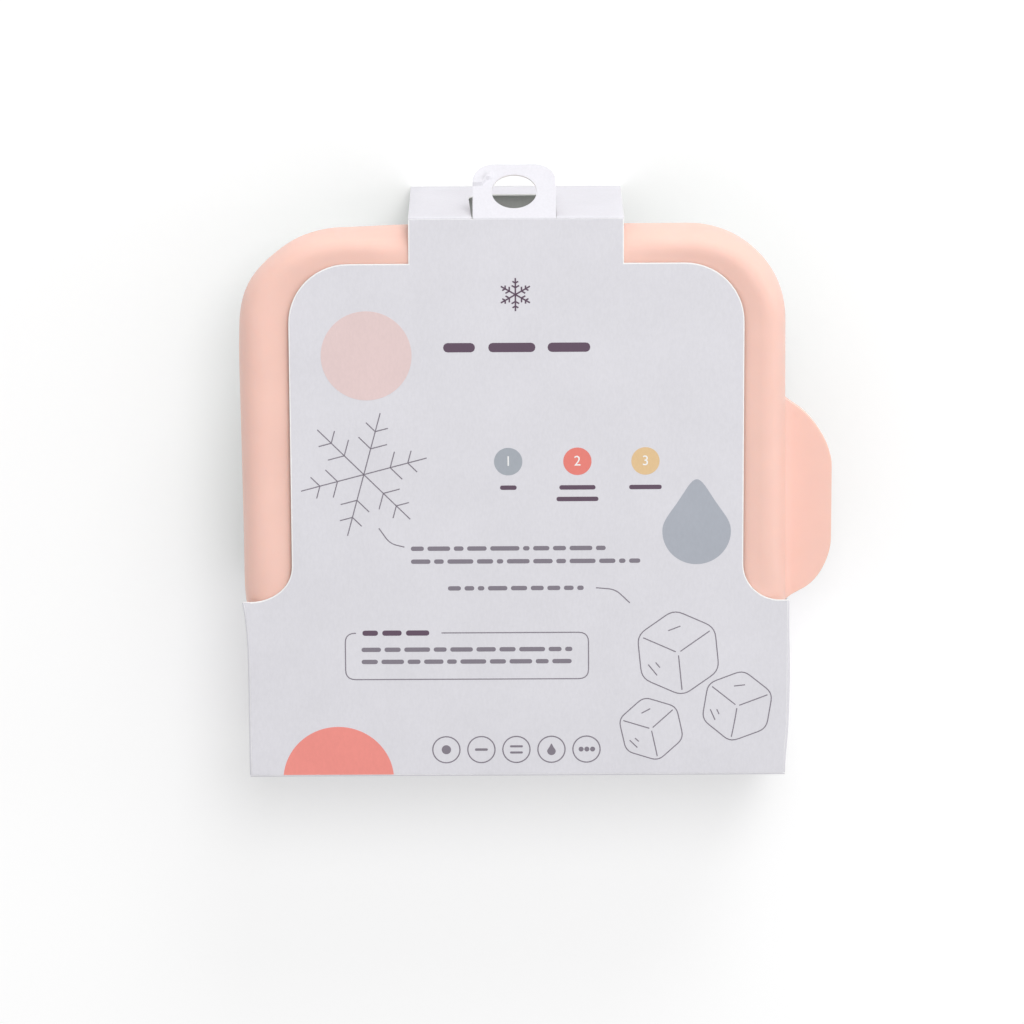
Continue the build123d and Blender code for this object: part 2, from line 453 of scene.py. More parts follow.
def sideShift(x, y):
    # the lid pushes the pocket's upper left corner out, and its lower right corner is pushed in
    near = min(1.0, max(0.0, 1 - (pocketTop - y) / sleeveCard["flareLength"]))
    side = max(0.0, min(1.0, (panelLeft - x) / (sideX + panelLeft)))
    flare = sleeveCard["flare"] * near ** 3 * side * ease(1 - (y - pocketTop) / sleeveCard["flareFade"])
    nearEnd = ease(1 - (y + endY) / sleeveCard["tuckLength"])
    tuck = sleeveCard["tuck"] * nearEnd * ease((x - neckRight) / (sideX - neckRight))
    return -flare - tuck


def onFront(x, y, lift=0.0):
    return Vector((x + sideShift(x, y), y, frontTop + bowAt(x, y) + lift))


def pocketSheet(name, boxLow, boxHigh):
    # a full-width pocket, a narrower panel between the windows, and a neck
    low, high, left, right = boxLow.y, boxHigh.y, boxLow.x, boxHigh.x
    corners = [
        (left, low), (right, low), (right, pocketTop), (panelRight, pocketTop), (panelRight, shoulderY),
        (neckRight, shoulderY), (neckRight, high), (neckLeft, high), (neckLeft, shoulderY),
        (panelLeft, shoulderY), (panelLeft, pocketTop), (left, pocketTop),
    ]
    rounds = [((x, shoulderY), sleeveCard["shoulderRound"]) for x in (panelLeft, panelRight)]
    rounds += [((x, pocketTop), sleeveCard["pocketRound"]) for x in (panelLeft, panelRight)]
    return flatSheet(name, corners, rounds)


def paintEdgeHighlight(sheet):
    # painted highlight: a thin strip along the windows' edges takes the whiter edge card, for the light the
    # cut edges catch, and the creases keep the print
    editAll(sheet)
    bpy.ops.mesh.inset(thickness=sleeveCard["paintedHighlightRim"], use_boundary=True)
    backToObject()
    keep = sleeveCard["creaseKeep"]
    for face in sheet.data.polygons:
        atCrease = abs(face.center.x) > sideX - keep or abs(face.center.y) > endY - keep
        if not face.select and not atCrease:
            face.material_index = 1


def makeFront():
    front = pocketSheet("sleeveFront", frontLow, frontHigh)
    liftEnd = panelLeft + sleeveCard["edgeLiftReach"]
    sliceAt(front, steps(frontLow.x, frontHigh.x, sleeveCard["frontSlices"]), (1, 0, 0))
    sliceAt(front, steps(frontLow.y, frontHigh.y, sleeveCard["frontSlices"]), (0, 1, 0))
    sliceAt(front, steps(panelLeft, liftEnd, sleeveCard["edgeSlices"]), (1, 0, 0))
    dress(front, cardFace, cardEdgeAndHighlight, cardInside)
    paintEdgeHighlight(front)
    moveEach(front, lambda x, y, z: onFront(x, y))
    thicken(front, cardThick)
    softenEdges(front, sleeveCard["cutEdge"], edgeSlot=1)
    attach(front, "sleeve_front")
    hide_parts("front_panel")


def makeBack():
    low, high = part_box("back_panel")
    back = pocketSheet("sleeveBack", low, high)
    moveEach(back, lambda x, y, z: (x, y, high.z))
    dress(back, cardInside, cardEdgeAndHighlight, cardFace)
    thicken(back, high.z - low.z)
    softenEdges(back, sleeveCard["cutEdge"], edgeSlot=1)
    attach(back, "sleeve_back")
    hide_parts("back_panel")


def foldedOver(run, turn):
    # a point on card that leaves the front level and turns down: returns how far out and how far down
    bend = sleeveCard["foldRound"]
    arc = bend * turn
    if run < arc:
        angle = run / bend
        return bend * sin(angle), bend * (1 - cos(angle))
    past = run - arc
    return bend * sin(turn) + past * cos(turn), bend * (1 - cos(turn)) + past * sin(turn)


def hangSheet(name, corners, rounds, turn, place, slices):
    # corners are (along the crease, down from it); place puts (along, out, down) in the frame
    sheet = flatSheet(name, [(along, -down) for along, down in corners],
                      [((along, -down), radius) for (along, down), radius in rounds])
    deepest = max(down for along, down in corners)
    widest = max(along for along, down in corners)
    narrowest = min(along for along, down in corners)
    arc, fine = sleeveCard["foldRound"] * turn, sleeveCard["foldSlices"]
    sliceAt(sheet, [-arc * (i + 1) / fine for i in range(fine)], (0, 1, 0))
    sliceAt(sheet, [-down for down in steps(arc, deepest, slices)], (0, 1, 0))
    sliceAt(sheet, steps(narrowest, widest, slices), (1, 0, 0))
    moveEach(sheet, lambda x, y, z: place(x, *foldedOver(-y, turn)))
    dress(sheet, cardFace, cardEdgeAndHighlight, cardInside)
    return sheet


def bellyAt(belly, along, low, high, down, deep):
    across = sin(pi * (along - low) / (high - low))
    return belly * max(0.0, across) * max(0.0, sin(pi * min(max(down / deep, 0), 1)))


def makeWall(name, node, sign):
    low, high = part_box(node)
    deep = frontTop - low.z
    edge = sign * (sideX - sleeveCard["creaseInset"])
    side = "left" if sign < 0 else "right"
    belly = sleeveCard["belly"][side]

    def place(along, out, down):
        out += bellyAt(belly, along, low.y, high.y, down, deep)
        fade = 1.0 if sign > 0 else max(0.0, 1 - down / deep)
        shift = sideShift(edge, along) * fade
        return edge + sign * out + shift, along, frontTop + bowAt(edge, along) - down

    back, drop = sleeveCard["endSlope"][side]
    end, foot = high.y - back, deep + arcLoss
    corners = [(low.y, 0), (high.y, 0), (end, drop), (end, foot), (low.y, foot)]
    wall = hangSheet(name, corners, [], pi / 2, place, sleeveCard["wallSlices"])
    faceOutward(wall, (sign, 0, 0))
    thicken(wall, cardThick)
    softenEdges(wall, sleeveCard["cutEdge"])
    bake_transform(wall)
    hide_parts(node)


def makeEnd(name, node, sign, corners, rounds=(), belly=0.0):
    deep = max(down for along, down in corners)
    edge = sign * (endY - sleeveCard["creaseInset"])
    low = min(along for along, down in corners)
    high = max(along for along, down in corners)

    def place(along, out, down):
        out += bellyAt(belly, along, low, high, down, deep)
        return along + sideShift(along, edge), edge + sign * out, frontTop + bowAt(along, edge) - down

    panel = hangSheet(name, corners, rounds, pi / 2, place, sleeveCard["endSlices"])
    faceOutward(panel, (0, sign, 0))
    thicken(panel, cardThick)
    softenEdges(panel, sleeveCard["cutEdge"])
    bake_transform(panel)
    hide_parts(node)


glueFlap = dict(
    endSlope=4.0 * mm,         # how far the ends lean in
    cornerRound=2.0 * mm,
    roundSteps=6,
    reliefHalf=13.0 * mm,      # the top flap is cut away behind the hang tab's opening
    reliefLeft=5.0 * mm,       # what is left of its height there
)


def makeFlap(name, node, inward, relief=None):
    low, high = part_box(node)
    acrossX = inward[1] != 0
    first, last = (low.x, high.x) if acrossX else (low.y, high.y)
    height, lean = high.z - low.z, glueFlap["endSlope"]
    top = [(last - lean, height), (first + lean, height)]
    notch = []
    if relief is not None:
        near, far = relief + glueFlap["reliefHalf"], relief - glueFlap["reliefHalf"]
        foot = glueFlap["reliefLeft"]
        notch = [(near, height), (near, foot), (far, foot), (far, height)]
    corners = [(first, 0), (last, 0), top[0], *notch, top[1]]
    rounds = [(corner, glueFlap["cornerRound"]) for corner in top]
    flap = flatSheet(name, corners, rounds, glueFlap["roundSteps"])
    face = low if sum(inward) < 0 else high

    def stand(along, up, flat):
        return (along, face.y, low.z + up) if acrossX else (face.x, along, low.z + up)

    moveEach(flap, stand)
    faceOutward(flap, inward)
    dress(flap, cardInside, cardEdgeAndHighlight, cardInside)
    thicken(flap, cardThick)
    softenEdges(flap, sleeveCard["cutEdge"], edgeSlot=1)
    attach(flap, "sleeve_back")
    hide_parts(node)


hangCard = dict(
    half=11.4 * mm,
    shift=-0.45 * mm,          # from the neck's middle
    reach=19.5 * mm,
    cornerRound=6.0 * mm,
    holeRadius=6.2 * mm,
    holeReach=10.05 * mm,      # from the crease to the hole's middle
    holeSides=64,
    punchLong=20 * mm,
    lift=37,                   # degrees out of the top panel
    foldReach=(0.7 * mm, 0.9 * mm),  # out and down, where its crease ends
    cutGap=(0.25 * mm, 0.12 * mm),  # left and right of the tab, at the crease
    cutFlare=1.3 * mm,         # how much wider the left gap is at its foot
    cutRound=6.3 * mm,
    cutExtra=15.0 * mm,        # how far the cut-out runs on past the tab
    curl=0.4 * mm,             # how far the tip's corners curl up
    # the strip left of the hole is crumpled: its ridge runs through (along, down from the crease), in mm
    ridge=((-12, 12.4), (-8.8, 12.7), (-7.8, 14.6), (-5.5, 15.3)),
    ridgeHeight=1.0 * mm,
    ridgeRun=3.0,              # mm from the ridge to flat card, towards the tip
    ridgeStep=0.6,             # mm in which it drops on the crease's side
    ridgeEnd=(-5.6, 1.2),      # where it fades out, and over what width
    slices=60,
)
hangMiddle = sleeveCard["windowShift"] + hangCard["shift"]


def makeStrap():
    deep = frontTop - strapLow.z + arcLoss
    gapLeft, gapRight = hangCard["cutGap"]
    notchLeft = hangMiddle - hangCard["half"] - gapLeft
    notchRight = hangMiddle + hangCard["half"] + gapRight
    notchDeep = hangCard["reach"] + hangCard["cutExtra"] + cardThick
    notchFoot = notchLeft - hangCard["cutFlare"]
    corners = [
        (neckLeft, 0), (notchLeft, 0), (notchFoot, notchDeep), (notchRight, notchDeep),
        (notchRight, 0), (neckRight, 0), (neckRight, deep), (neckLeft, deep),
    ]
    rounds = [((along, notchDeep), hangCard["cutRound"]) for along in (notchFoot, notchRight)]
    makeEnd("sleeveStrap", "top_panel", 1, corners, rounds)


def makeBottom():
    deep = frontTop - bottomLow.z + arcLoss
    left = bottomLow.x - sleeveCard["bottomWrap"]
    right = bottomHigh.x + sleeveCard["bottomWrap"]
    corners = [(left, 0), (right, 0), (right, deep), (left, deep)]
    belly = sleeveCard["belly"]["bottom"]
    makeEnd("sleeveBottom", "bottom_panel", -1, corners, belly=belly)


def makeHangTab():
    turn = radians(90 - hangCard["lift"])
    edge = endY - sleeveCard["creaseInset"]
    half, reach = hangCard["half"], hangCard["reach"] + cardThick
    left, right = hangMiddle - half, hangMiddle + half
    corners = [(left, 0), (right, 0), (right, reach), (left, reach)]
    rounds = [((along, reach), hangCard["cornerRound"]) for along in (left, right)]

    def place(along, out, down):
        share = hypot(out, down) / reach
        rise = hangCard["curl"] * share ** 2 * (0.5 + 0.5 * ((along - hangMiddle) / half) ** 2)
        spot = (along - hangMiddle) / mm
        past = share * reach / mm - fromTable(hangCard["ridge"], spot)
        run = hangCard["ridgeRun"] if past > 0 else hangCard["ridgeStep"]
        end, fade = hangCard["ridgeEnd"]
        rise += hangCard["ridgeHeight"] * ease(1 - abs(past) / run) * ease((end - spot) / fade)
        return along, edge + out + rise * sin(turn), frontTop - down + rise * cos(turn)

    tab = hangSheet("hangTab", corners, rounds, turn, place, hangCard["slices"])
    faceOutward(tab, (0, sin(turn), cos(turn)))
    thicken(tab, cardThick)
    holeSpot = place(hangMiddle, *foldedOver(hangCard["holeReach"], turn))
    deselectAll()
    bpy.ops.mesh.primitive_cylinder_add(
        vertices=hangCard["holeSides"], radius=hangCard["holeRadius"], depth=hangCard["punchLong"],
        location=holeSpot, rotation=(-turn, 0, 0))
    punch = bpy.context.object
    punch.data.materials.append(cardEdgeAndHighlight)
    cut = tab.modifiers.new("punched hole", "BOOLEAN")
    cut.object = punch
    cut.operation = "DIFFERENCE"
    cut.solver = "EXACT"
    applyAll(tab)
    bpy.data.objects.remove(punch)
    softenEdges(tab, sleeveCard["cutEdge"])
    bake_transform(tab)
    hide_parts("hang_tab")


makeFront()
makeBack()
makeFlap("flapLeft", "left_glue_flap", (1, 0, 0))
makeFlap("flapRight", "right_glue_flap", (-1, 0, 0))
makeFlap("flapTop", "top_glue_flap", (0, -1, 0), hangMiddle)
makeWall("sleeveLeft", "left_side_panel", -1)
makeWall("sleeveRight", "right_side_panel", 1)
makeStrap()
makeBottom()
makeHangTab()
print("card sleeve folded")


# the lid

lidForm = dict(
    cornerRound=26.5 * mm,
    cornerSteps=20,
    wall=2.0 * mm,
    border=14.0 * mm,          # from the side to the recess
    archOut=8.2 * mm,          # from the side to the crown
    archDrop=9.5 * mm,         # from the crown down to the straight skirt
    archSquare=0.78,           # 1 is an ellipse, less is squarer
    archSteps=14,
    recessDrop=4.6 * mm,
    recessFillet=1.4 * mm,
    hemRound=0.5 * mm,
    # how far the soft sides bow out above the pocket, as (place along the side, bow) in mm
    bowLeft=[(-80, 0), (-47, 0), (-38, 0.4), (-33, 1.1), (-29, 1.8), (-26, 1.9), (-10, 1.9), (12, 2.1),
             (41, 2.4), (58, 1.8), (78, 0.6), (90, 0.6)],
    bowRight=[(-80, 0), (-50, 0.2), (-33, 0.7), (-28, 0.8), (0, 0.5), (40, 0.3), (78, 0.1), (90, 0.1)],
    bowBlend=(-3, -1.5, 0, 1.5, 3),  # mm to both sides that the bow is averaged over
    bowFull=1.0 * mm,          # the skin that moves all the way
    bowReach=9.0 * mm,         # and how far in the move dies out
    swell=1.0 * mm,            # how far the soft rim swells up through the windows
    swellInset=(3.0 * mm, 9.5 * mm),  # where it is highest and where it ends, from the side
    swellFade=12 * mm,         # it dies out over this length beside the card that covers the rim
    cornerEase=0.8 * mm,       # how far the top edge eases down towards its left corner
    cornerEaseMiddle=-52 * mm,
    cornerEaseHalf=26 * mm,
    cornerEaseRise=(45 * mm, 22 * mm),  # where along the lid it starts, and over what length
    cornerEaseReach=3.0 * mm,  # only the skin moves, so that the inside clears the tray
    slices=40,
)


def lidBow(side, y):
    samples = [fromTable(lidForm[side], y / mm + offset) for offset in lidForm["bowBlend"]]
    return sum(samples) / len(samples) * mm


def lidInset(x, y):
    # how far inside the lid's rounded outline a point is
    radius = lidForm["cornerRound"]
    across = abs(x - (lidLow.x + lidHigh.x) / 2) - (lidHigh.x - lidLow.x) / 2 + radius
    along = abs(y - (lidLow.y + lidHigh.y) / 2) - (lidHigh.y - lidLow.y) / 2 + radius
    return radius - hypot(max(across, 0), max(along, 0)) - min(max(across, along), 0)


def rimSwell(x, y):
    inset = lidInset(x, y)
    peak, end = lidForm["swellInset"]
    fade = lidForm["swellFade"]
    besideNeck = ease((abs(x - sleeveCard["windowShift"]) - sleeveCard["neckHalf"]) / fade)
    free = besideNeck * ease((y - pocketTop) / fade)
    return lidForm["swell"] * ease(inset / peak) * ease((end - inset) / (end - peak)) * free


def followProfile(profile):
    # the chosen face is stepped inward and up or down: profile holds (inset, height)
    leastStep = 0.0001 * mm    # below this the step is straight up or down
    for (inset, height), (nextInset, nextHeight) in zip(profile, profile[1:]):
        if nextInset - inset > leastStep:
            bpy.ops.mesh.inset(thickness=nextInset - inset, depth=0)
        else:
            bpy.ops.mesh.extrude_region_move()
        bpy.ops.transform.translate(value=(0, 0, nextHeight - height))


def makeLid():
    low, high, crown, hem = lidLow, lidHigh, lidHigh.z, lidLow.z
    corners = [(low.x, low.y), (high.x, low.y), (high.x, high.y), (low.x, high.y)]
    rounds = [(corner, lidForm["cornerRound"]) for corner in corners]
    lid = flatSheet("lidShell", corners, rounds, lidForm["cornerSteps"])
    archDrop = lidForm["archDrop"]
    spring = crown - archDrop
    moveEach(lid, lambda x, y, z: (x, y, spring))
    dress(lid, lidSilicone)
    thicken(lid, spring - hem, rim=0, inside=0)

    # outside: up the arch, over the crown and down into the recess
    out, border = lidForm["archOut"], lidForm["border"]
    drop, fillet = lidForm["recessDrop"], lidForm["recessFillet"]
    inner, square, count = drop - fillet, lidForm["archSquare"], lidForm["archSteps"]
    angles = [pi / 2 * i / count for i in range(count + 1)]
    top = [(out * (1 - cos(a) ** square), spring + archDrop * sin(a) ** square) for a in angles[:-1]]
    top += [(out, crown)]
    top += [(out + (border - out) * sin(a), crown - inner * (1 - cos(a))) for a in angles[2::2]]
    top += [(border + fillet * (1 - cos(a)), crown - inner - fillet * sin(a)) for a in angles[3::3]]
    top += [(border + fillet, crown - drop)]
    editSome(lid, "FACE", lambda face: face.normal.z > 0.9)
    followProfile(top)
    backToObject()

    # inside: the same way, a wall's thickness in
    wall = lidForm["wall"]
    under = [(0, hem), (wall, hem), (wall, spring)]
    rise = archDrop - wall
    under += [(wall + (out - wall) * (1 - cos(a)), spring + rise * sin(a)) for a in angles[2::2]]
    under += [(border - wall, crown - wall), (border - wall, crown - drop - wall)]
    editSome(lid, "FACE", lambda face: face.normal.z < -0.9 and face.center.z < hem + 0.1 * mm)
    followProfile(under)
    backToObject()

    softenEdges(lid, lidForm["hemRound"], segments=3, angle=62)
    sliceAt(lid, steps(low.y, high.y, lidForm["slices"]), (0, 1, 0))
    sliceAt(lid, steps(low.x, high.x, lidForm["slices"]), (1, 0, 0))

    def soften(x, y, z):
        full, reach = lidForm["bowFull"], lidForm["bowReach"]
        nearLeft = ease(1 - (x - low.x - full) / reach)
        nearRight = ease(1 - (high.x - full - x) / reach)
        across = lidBow("bowRight", y) * nearRight - lidBow("bowLeft", y) * nearLeft
        start, length = lidForm["cornerEaseRise"]
        nearCorner = ease(1 - abs(x - lidForm["cornerEaseMiddle"]) / lidForm["cornerEaseHalf"])
        nearCorner *= ease((y - start) / length)
        nearCorner *= ease(1 - lidInset(x, y) / lidForm["cornerEaseReach"])
        lift = rimSwell(x, y) * (z - hem) / (crown - hem)
        return x + across, y - lidForm["cornerEase"] * nearCorner, z + lift

    moveEach(lid, soften)
    shadeSmooth(lid)
    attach(lid, "lid")
    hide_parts("lid")


makeLid()
print("lid moulded")


# the lid's pull tab

pullTab = dict(
    tipHalf=20.4 * mm,
    tipRound=10.2 * mm,        # from the tip's corner to where its round starts
    sag=2.4 * mm,              # how far the tip leans to the pocket
    edgeRound=0.9 * mm,
    tuck=1.8 * mm,             # how far the root reaches into the lid's side
    rootRise=5.2 * mm,         # how far the root climbs the lid's side
    rootRiseCurve=2.5,         # more climbs later
    rootFlare=1.6 * mm,        # how far its upper corner spreads
    rootFlareCurve=8,          # more keeps the spread nearer to the corner
    rootDrop=4.2 * mm,         # how far the lower root runs on behind the pocket's edge
    swellReach=5.0 * mm,       # from the root to where the tab is flat
    bend=(0.2 * mm, 4 * mm),   # where it starts and stops bending, from the lid's side
    rootSlices=9,
    flatSlices=4,
    sideSlices=25,
)


def makePullTab():
    side, tip = lidHigh.x, tabHigh.x
    middle = (tabLow.y + tabHigh.y) / 2
    thick = tabHigh.z - tabLow.z
    rootHalf = (tabHigh.y - tabLow.y) / 2
    inner = side - pullTab["tuck"]
    flatFrom = inner + pullTab["swellReach"]
    foot, head = middle - rootHalf - pullTab["rootDrop"], middle + rootHalf
    tipFoot, tipHead = middle - pullTab["tipHalf"], middle + pullTab["tipHalf"]
    corners = [(inner, foot), (tip, tipFoot), (tip, tipHead), (inner, head)]
    rounds = [((tip, y), pullTab["tipRound"]) for y in (tipFoot, tipHead)]
    tab = flatSheet("pullTab", corners, rounds)
    sliceAt(tab, steps(inner, flatFrom, pullTab["rootSlices"]), (1, 0, 0))
    sliceAt(tab, steps(flatFrom, tip, pullTab["flatSlices"]), (1, 0, 0))
    sliceAt(tab, steps(foot, head, pullTab["sideSlices"]), (0, 1, 0))
    moveEach(tab, lambda x, y, z: (x, y - pullTab["sag"] * ease((x - side) / (tip - side)), tabHigh.z))
    dress(tab, lidSilicone)
    thicken(tab, thick, rim=0, inside=0)
    softenEdges(tab, pullTab["edgeRound"], segments=4)

    def swellRoot(x, y, z):
        near = min(1.0, max(0.0, 1 - (x - inner) / pullTab["swellReach"]))
        up = max(0.0, (y - middle) / rootHalf)
        flare = pullTab["rootFlare"] * near ** 2 * up ** pullTab["rootFlareCurve"]
        top = (z - tabLow.z) / thick
        return x, y + flare, z + top * pullTab["rootRise"] * near ** pullTab["rootRiseCurve"]

    moveEach(tab, swellRoot)
    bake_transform(tab)
    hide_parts("lid_pull_tab")


makePullTab()
print("pull tab moulded")


# the print on the sleeve's front, in flat inks on the card

inkTints = dict(
    plum=(0.13, 0.085, 0.125),
    grey=(0.24, 0.215, 0.255),
    slate=(0.40, 0.43, 0.475),
    coral=(0.83, 0.235, 0.20),
    coralWash=(0.89, 0.30, 0.262),
    straw=(0.80, 0.565, 0.31),
    blush=(0.80, 0.625, 0.615),
    sage=(0.43, 0.455, 0.51),
    white=(0.93, 0.93, 0.92),
)
inks = {name: paper(name + "Ink", tint, *paperFinish["inked"]) for name, tint in inkTints.items()}
inkLift = 0.03 * mm            # how far ink stands on the card
inkThick = 0.9                 # share of that which is ink
inkMargin = 0.1 * mm           # what stays bare at a crease

# places are in mm from the sleeve's middle
frontPrint = dict(
    blush=(-41.5, 41.0, 12.5),            # discs: middle and radius
    coral=(-50.5, -80.5, 15.5),
    sage=(49.5, -9.0, 9.5, 0.55),         # the last draws its top out
    crest=(-0.4, 58.0, 4.6, pi / 6),      # crystals and cubes: middle, radius and turn
    crystal=(-42.5, 7.5, 18.0, 0.26),
    cubes=[(44.5, -44.0, 12.5, 0.10), (61.0, -59.5, 10.5, -0.16), (37.0, -66.0, 9.5, 0.22)],
    titleBars=[(-20.3, -11.6), (-7.9, 5.0), (8.4, 20.1)],  # left and right end
    titleRow=(43.2, 2.6),                 # place and height
    # numbered dots: place, ink, and the bars below them as (width, place)
    dots=[("1", -2.6, "slate", [(4.6, 3.6)]), ("2", 16.5, "coral", [(10.0, 3.6), (11.6, 0.3)]),
          ("3", 35.3, "straw", [(9.0, 3.6)])],
    dotRow=11.0,
    dotRadius=3.9,
    numberSize=4.0,
    # rows of small bars: left end, right end, place, height and the bars' lengths in turn
    notes=[(-29.7, 26.1, -13.7, 1.25, (4, 7, 3, 6, 9, 2, 5)),
           (-29.7, 33.9, -17.4, 1.25, (6, 3, 8, 5, 2, 7)),
           (-19.5, 20.1, -25.1, 1.25, (4, 3, 2, 6, 5, 4)),
           (-43.7, 15.0, -42.7, 1.25, (6, 5, 8, 4, 7)),
           (-43.7, 15.0, -46.2, 1.25, (5, 7, 4, 6, 3, 8))],
    heading=(-43.4, -23.2, -37.9, 1.5, (4, 5, 6)),
    captionHeight=1.25,
    frame=[(-21.4, -37.9), (19.5, -37.9), (19.5, -51.3), (-48.2, -51.3), (-48.2, -37.9), (-45.2, -37.9)],
    frameRound=2.8,
    hooks=[[(-31.5, -13.2), (-35.5, -12.2), (-38.5, -7.8)], [(21.6, -25.1), (27.0, -25.6), (31.0, -29.5)]],
    hookRound=2.0,
    ringRow=-71.8,
    ringPlaces=[-20.3 + 9.8 * i for i in range(5)],
    ringRadius=3.8,
    ringSteps=40,
    markHalf=1.8,                         # half the bars in the rings
    pen=dict(crest=0.42, frame=0.3, sketch=0.3, ring=0.34),
)


def bar(left, right, y, height, roundShare=0.46):
    low, high = (y - height / 2) * mm, (y + height / 2) * mm
    corners = [(left * mm, low), (right * mm, low), (right * mm, high), (left * mm, high)]
    rounds = [(corner, height * roundShare * mm) for corner in corners]
    return flatSheet("bar", corners, rounds, roundSteps=3)


def barRow(left, right, y, height, lengths, unitShare=0.72, gapShare=0.8):
    bars, place, index = [], left, 0
    unit, gap = height * unitShare, height * gapShare
    while place < right - unit * 2:
        end = min(place + lengths[index % len(lengths)] * unit, right)
        bars.append(bar(place, end, y, height))
        place = end + gap
        index += 1
    return bars


def disc(x, y, radius, stretch=0.0, pinch=0.55, sides=72):
    # stretch draws the top out to a point, as on a drop, and pinch narrows it
    deselectAll()
    bpy.ops.mesh.primitive_circle_add(vertices=sides, radius=radius * mm, fill_type="NGON")
    dot = bpy.context.object

    def place(u, v, w):
        rise = max(0.0, v / (radius * mm))
        narrow = 1 - pinch * stretch * rise ** 2
        return u * narrow + x * mm, v + stretch * radius * mm * rise ** 5 + y * mm, 0

    moveEach(dot, place)
    return dot


def clipAtFoot(obj):
    # what would run over the bottom crease is cut off
    editAll(obj)
    bpy.ops.mesh.bisect(plane_co=(0, inkMargin - endY, 0), plane_no=(0, -1, 0), clear_outer=True)
    backToObject()
    return obj


def numeral(text, x, y, size):
    deselectAll()
    bpy.ops.object.text_add()
    figure = bpy.context.object
    figure.data.body = text
    figure.data.size = size * mm
    figure.data.align_x = "CENTER"
    figure.data.align_y = "CENTER"
    bpy.ops.object.convert(target="MESH")
    moveEach(figure, lambda u, v, w: (u + x * mm, v + y * mm, 0))
    return figure


def strokes(chains, width, longest=4 * mm, cuts=6, flatten=0.16):
    # thin flat pen lines through chains of points, with long runs cut so that they follow the card
    points, edges = [], []
    for chain in chains:
        first = len(points)
        points += [(x * mm, y * mm, 0) for x, y in chain]
        edges += [(first + i, first + i + 1) for i in range(len(chain) - 1)]
    mesh = bpy.data.meshes.new("strokes")
    mesh.from_pydata(points, edges, [])
    lines = bpy.data.objects.new("strokes", mesh)
    bpy.context.scene.collection.objects.link(lines)

    def isLong(edge):
        start, end = [lines.data.vertices[index].co for index in edge.vertices]
        return (start - end).length > longest

    editSome(lines, "EDGE", isLong)
    bpy.ops.mesh.subdivide(number_cuts=cuts)
    backToObject()
    pickOnly(lines)
    bpy.ops.object.convert(target="CURVE")
    lines.data.bevel_depth = width / 2 * mm
    lines.data.bevel_resolution = 1
    lines.data.use_fill_caps = True
    bpy.ops.object.convert(target="MESH")
    moveEach(lines, lambda x, y, z: (x, y, z * flatten))
    return lines


def roundedChain(points, radius, closed=True, cornerSteps=5):
    chain = []
    count = len(points)
    for i, point in enumerate(points):
        here = Vector(point)
        if not closed and i in (0, count - 1):
            chain.append(tuple(here))
            continue
        before, after = Vector(points[i - 1]), Vector(points[(i + 1) % count])
        start = here + (before - here).normalized() * radius
        end = here + (after - here).normalized() * radius
        for k in range(cornerSteps + 1):
            share = k / cornerSteps
            bend = start * (1 - share) ** 2 + here * 2 * share * (1 - share) + end * share ** 2
            chain.append(tuple(bend))
    return chain + [chain[0]] if closed else chain


def layInk(name, pieces, ink, raised=0.0):
    layer = pieces[0]
    pickOnly(layer)
    for piece in pieces:
        piece.select_set(True)
    if len(pieces) > 1:
        bpy.ops.object.join()
    layer.name = layer.data.name = name
    flat = max(abs(vertex.co.z) for vertex in layer.data.vertices) < 1e-9
    moveEach(layer, lambda x, y, z: onFront(x, y, inkLift + raised + z))
    dress(layer, inks[ink])
    if flat:
        faceOutward(layer, (0, 0, 1))
        thicken(layer, inkLift * inkThick, rim=0, inside=0)
    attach(layer, "sleeve_front")


def crystal(x, y, radius, turn, arms=6):
    def beside(root, angle, length):
        return (root[0] + length * radius * cos(angle), root[1] + length * radius * sin(angle))

    chains = []
    for k in range(arms):
        angle = 2 * pi * k / arms + turn
        chains.append([(x, y), beside((x, y), angle, 1.0)])
        for share, length in ((0.42, 0.26), (0.7, 0.2)):  # twigs: place along the arm and length
            root = beside((x, y), angle, share)
            chains += [[root, beside(root, angle + side * pi / 3, length)] for side in (-1, 1)]
    return chains


def iceCube(x, y, radius, turn):
    def at(angle, share=1.0):
        spin = radians(angle) + turn
        return (x + radius * share * cos(spin), y + radius * share * sin(spin))

    # outline, three edges that meet in front, and a few glints
    chains = [roundedChain([at(30 + 60 * k) for k in range(6)], radius * 0.22)]
    chains += [[at(angle, 0.06), at(angle, 0.86)] for angle in (30, 150, 270)]
    chains += [[at(196, 0.72), at(222, 0.70)], [at(198, 0.55), at(214, 0.53)]]
    return chains + [[at(80, 0.62), at(108, 0.56)]]


def ringMarks(places, row):
    first, second, third, fourth, fifth = places
    half = frontPrint["markHalf"]
    marks = [disc(first, row, 1.3), bar(second - half, second + half, row, 0.7)]
    marks += [bar(third - half, third + half, row + shift, 0.6) for shift in (0.9, -0.9)]
    marks += [disc(fourth, row - 0.5, 1.2, 0.8)]
    marks += [disc(fifth + shift, row, 0.7) for shift in (-1.5, 0.1, 1.7)]
    return marks


